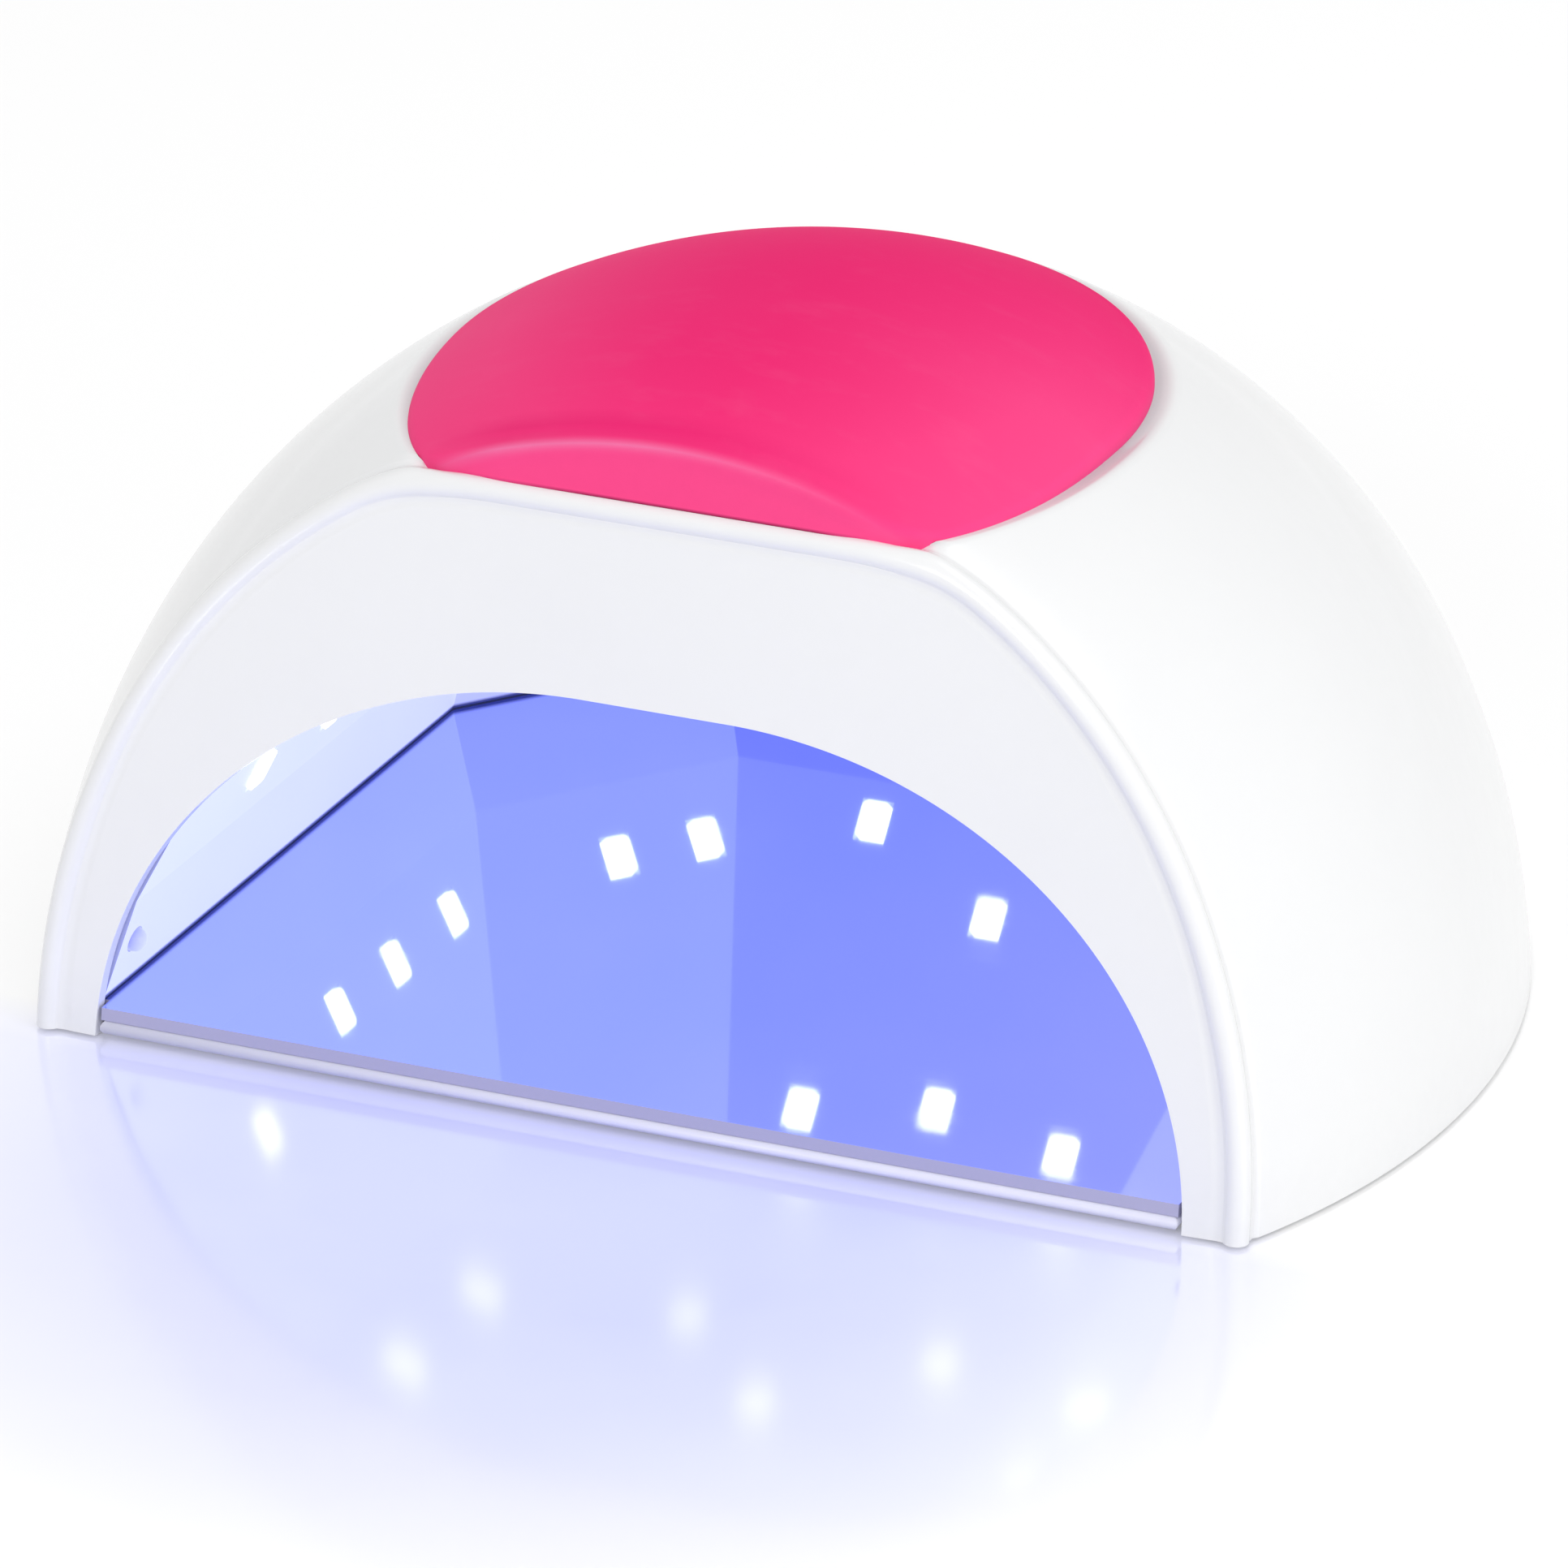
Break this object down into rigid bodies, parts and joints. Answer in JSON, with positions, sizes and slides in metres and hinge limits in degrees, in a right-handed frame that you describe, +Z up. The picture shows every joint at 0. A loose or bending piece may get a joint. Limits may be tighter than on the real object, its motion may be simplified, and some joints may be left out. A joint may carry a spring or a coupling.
{
  "type": "nail lamp",
  "caption": "Domed UV nail lamp: arched hand opening, faceted light chamber over a mirror base, soft pad on top, display and push buttons behind.",
  "frame": {"origin": "middle of the footprint, on the table that the feet stand on", "axes": "+X to the right as seen from the front, +Y from the hand opening towards the back, +Z up"},
  "size_m": [0.228, 0.1909, 0.117],
  "materials": {
    "shell": "polished white",
    "pad": "satin pink silicone",
    "liner": "smooth reflective",
    "led": "lit lens",
    "strip": "white solder mask on aluminium",
    "sensor": "dark clear",
    "screw": "nickel plated",
    "magnet": "nickel plated",
    "faceplate": "satin white",
    "window": "smoked acrylic",
    "board": "green solder mask",
    "switch": "moulded black",
    "display": "moulded dark grey",
    "chip": "moulded black",
    "coil": "ferrite",
    "can": "sleeved can",
    "plug": "moulded nylon",
    "inlet": "moulded black with a metal pin",
    "lead": "white sheath",
    "base": "smooth white",
    "mirror": "polished",
    "foot": "soft grey",
    "button": "satin pink",
    "plunger": "moulded black"
  },
  "bodies": {
    "base": {"base_plate": "base", "mirror_plate": "mirror", "rubber_feet": "foot"},
    "housing": {"housing_shell": "shell", "top_pad": "pad", "reflector_liner": "liner", "leds_left": "led", "leds_right": "led", "leds_rear": "led", "leds_ceiling": "led", "led_strips_left": "strip", "led_strips_right": "strip", "led_strips_rear": "strip", "led_strips_ceiling": "strip", "ir_emitter": "sensor", "ir_receiver": "sensor", "liner_screws": "screw", "housing_magnets": "magnet", "board_screws": "screw", "control_face": "faceplate", "display_window": "window", "control_board": "board", "key_switches": "switch", "display_module": "display", "controller_chip": "chip", "driver_coil": "coil", "capacitor": "can", "lead_plugs": "plug", "dc_inlet": "inlet", "inlet_nut": "screw", "lead_power": "lead", "lead_left": "lead", "lead_right": "lead"},
    "button_10": {"button_10": "button", "switch_plunger_10": "plunger"},
    "button_30": {"button_30": "button", "switch_plunger_30": "plunger"},
    "button_60": {"button_60": "button", "switch_plunger_60": "plunger"},
    "button_99": {"button_99": "button", "switch_plunger_99": "plunger"}
  },
  "joints": [
    {"name": "housing_lift", "type": "slide", "parent": "base", "child": "housing", "axis": [0, 0, 1], "range_m": [0, 0.06]},
    {"name": "button_10_press", "type": "slide", "parent": "housing", "child": "button_10", "axis": [0, -0.8192, -0.5736], "range_m": [0, 0.0008], "stiffness_N_per_m": 500, "springref_m": -0.002},
    {"name": "button_30_press", "type": "slide", "parent": "housing", "child": "button_30", "axis": [0, -0.8192, -0.5736], "range_m": [0, 0.0008], "stiffness_N_per_m": 500, "springref_m": -0.002},
    {"name": "button_60_press", "type": "slide", "parent": "housing", "child": "button_60", "axis": [0, -0.8192, -0.5736], "range_m": [0, 0.0008], "stiffness_N_per_m": 500, "springref_m": -0.002},
    {"name": "button_99_press", "type": "slide", "parent": "housing", "child": "button_99", "axis": [0, -0.8192, -0.5736], "range_m": [0, 0.0008], "stiffness_N_per_m": 500, "springref_m": -0.002}
  ]
}
